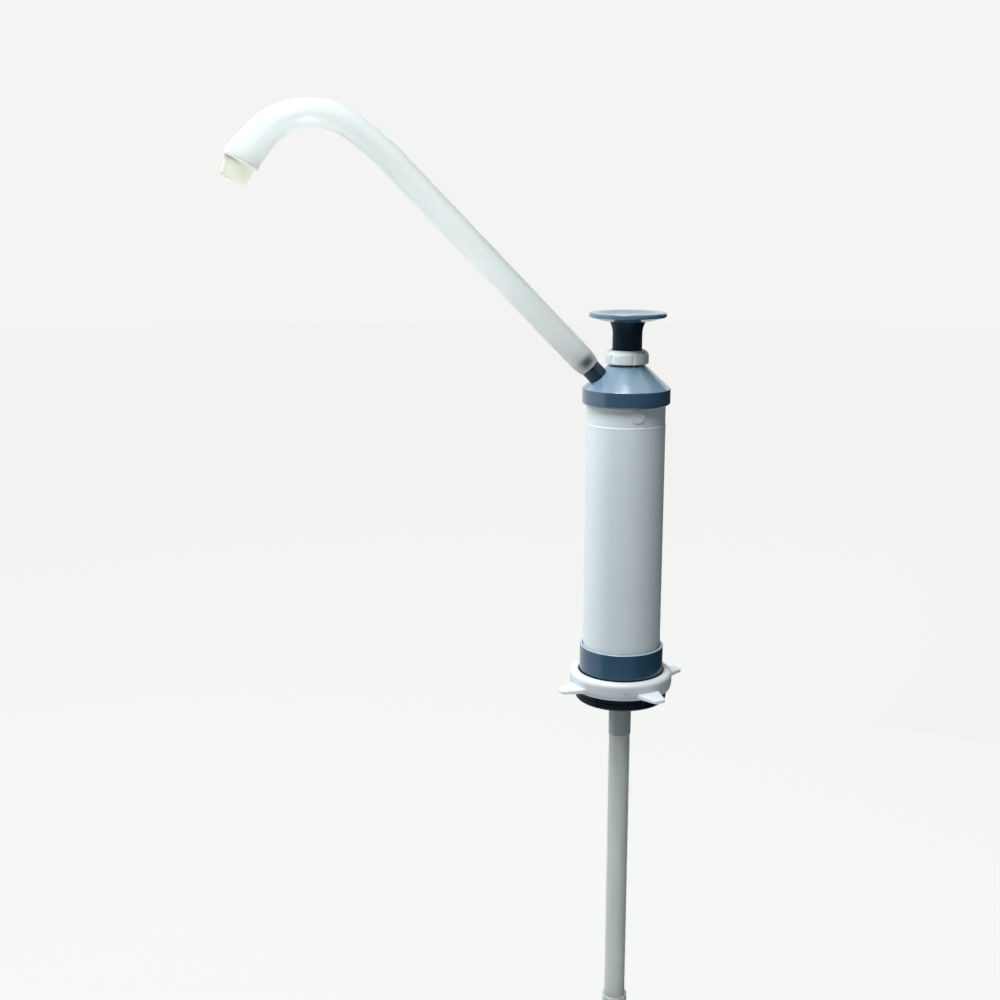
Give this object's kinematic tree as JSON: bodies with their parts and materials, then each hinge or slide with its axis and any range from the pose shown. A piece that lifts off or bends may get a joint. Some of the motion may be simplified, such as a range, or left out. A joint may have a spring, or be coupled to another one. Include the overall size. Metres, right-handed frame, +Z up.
{
  "type": "water jug hand pump",
  "caption": "Push-top hand pump that clamps on a large water jug's neck, with a swivelling gooseneck spout, a winged locking ring and a long dip tube.",
  "frame": {"origin": "centre of the plane on which the lip of the jug's neck seats, at the underside of the neck gasket", "axes": "+Z up the pump's axis towards the palm knob; the spout leaves the pump towards -X, in the XZ plane; -Z runs down the dip tube into the jug"},
  "size_m": [0.3018, 0.0946, 0.8651],
  "materials": {
    "slate_blue_plastic": "satin moulded blue-grey plastic",
    "pale_grey_plastic": "satin moulded pale grey plastic",
    "navy_plastic": "glossy moulded dark navy plastic",
    "white_plastic": "satin moulded white plastic",
    "milky_tube": "smooth milky translucent tube",
    "ivory_plastic": "satin moulded ivory plastic",
    "natural_plastic": "matt natural plastic",
    "black_rubber": "smooth black rubber",
    "stainless_wire": "drawn stainless steel"
  },
  "bodies": {
    "pump_body": {"gland_nut": "pale_grey_plastic", "gland_seal": "black_rubber", "top_cap": "slate_blue_plastic", "cap_gasket": "black_rubber", "outlet_nozzle": "navy_plastic", "nozzle_o_ring": "black_rubber", "barrel": "white_plastic", "return_spring": "stainless_wire", "spring_seat": "white_plastic", "foot_valve_seat": "white_plastic", "foot_valve_cage": "white_plastic", "barrel_gasket": "black_rubber", "base_collar": "slate_blue_plastic", "neck_collet": "navy_plastic", "neck_gasket": "black_rubber", "inlet_nipple": "natural_plastic", "dip_tube_upper": "milky_tube", "tube_coupler": "milky_tube", "dip_tube_lower": "milky_tube", "strainer_foot": "natural_plastic"},
    "plunger": {"knob": "slate_blue_plastic", "stem": "navy_plastic", "stem_stop_ring": "white_plastic", "piston": "white_plastic", "piston_cup_seal": "black_rubber", "valve_stop_ring": "white_plastic", "piston_retainer": "white_plastic", "piston_screw": "stainless_wire"},
    "piston_valve": {"piston_valve": "black_rubber"},
    "foot_valve": {"foot_valve_disc": "black_rubber"},
    "spout": {"spout": "milky_tube"},
    "tip_cap": {"tip_cap": "ivory_plastic"},
    "locking_ring": {"locking_ring": "white_plastic"}
  },
  "joints": [
    {"name": "plunger_slide", "type": "slide", "parent": "pump_body", "child": "plunger", "axis": [0, 0, -1], "range_m": [0, 0.012], "stiffness_N_per_m": 290, "springref_m": -0.04, "deforming": ["return_spring"]},
    {"name": "piston_valve_lift", "type": "slide", "parent": "plunger", "child": "piston_valve", "axis": [0, 0, 1], "range_m": [0, 0.0025]},
    {"name": "foot_valve_lift", "type": "slide", "parent": "pump_body", "child": "foot_valve", "axis": [0, 0, 1], "range_m": [0, 0.0035]},
    {"name": "spout_swivel", "type": "hinge", "parent": "pump_body", "child": "spout", "pos_m": [0, 0, 0.18295], "axis": [-0.7022, 0, 0.712], "continuous": true},
    {"name": "tip_cap_pull", "type": "slide", "parent": "spout", "child": "tip_cap", "axis": [-0.4648, 0, -0.8854], "range_m": [0, 0.012]},
    {"name": "locking_ring_turn", "type": "hinge", "parent": "pump_body", "child": "locking_ring", "pos_m": [0, 0, 0], "axis": [0, 0, 1], "range_deg": [0, 120]}
  ]
}
